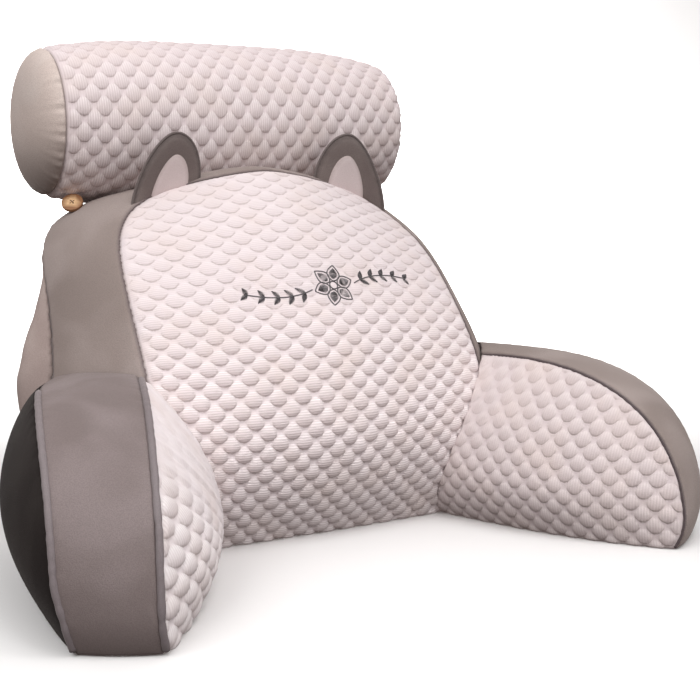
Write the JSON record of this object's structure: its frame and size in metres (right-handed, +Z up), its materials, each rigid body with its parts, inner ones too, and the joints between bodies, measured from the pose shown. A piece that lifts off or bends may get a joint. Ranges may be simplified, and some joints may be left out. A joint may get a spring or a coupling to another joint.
{
  "type": "reading pillow with arms",
  "caption": "Leaning filled backrest pillow with splayed filled arms, a neck roll tied on top and small cloth ears, in quilted bubble cloth and plush, for sitting up to read.",
  "frame": {"origin": "on the surface the pillow stands on, under the middle of its overall box", "axes": "+X to the pillow's right arm as the picture shows it, +Y towards the back of the pillow, away from the sitter, +Z up"},
  "size_m": [0.804, 0.6725, 0.5861],
  "materials": {
    "bubble_cloth": "pale pinkish-grey knitted bubble cloth, matt",
    "grey_plush": "taupe-grey short plush, soft sheen",
    "dark_plush": "dark grey short plush, soft sheen",
    "rear_plush": "pinkish-taupe short plush, soft sheen",
    "ear_lining": "pale grey short plush",
    "button_wood": "pale varnished wood"
  },
  "bodies": {
    "root": {"back_cushion": "bubble_cloth", "back_band": "grey_plush", "back_rear_panel": "rear_plush", "arm_left": "bubble_cloth", "arm_right": "bubble_cloth", "arm_left_band": "grey_plush", "arm_right_band": "grey_plush", "arm_left_side_panel": "dark_plush", "arm_right_side_panel": "dark_plush", "arm_left_inner_piping": "grey_plush", "arm_left_outer_piping": "grey_plush", "arm_right_inner_piping": "grey_plush", "arm_right_outer_piping": "grey_plush", "neck_roll": "bubble_cloth", "neck_roll_end_left": "grey_plush", "neck_roll_end_right": "grey_plush", "ear_left": "dark_plush", "ear_right": "dark_plush", "ear_lining_left": "ear_lining", "ear_lining_right": "ear_lining", "roll_button_left": "button_wood", "roll_button_right": "button_wood"}
  },
  "joints": []
}
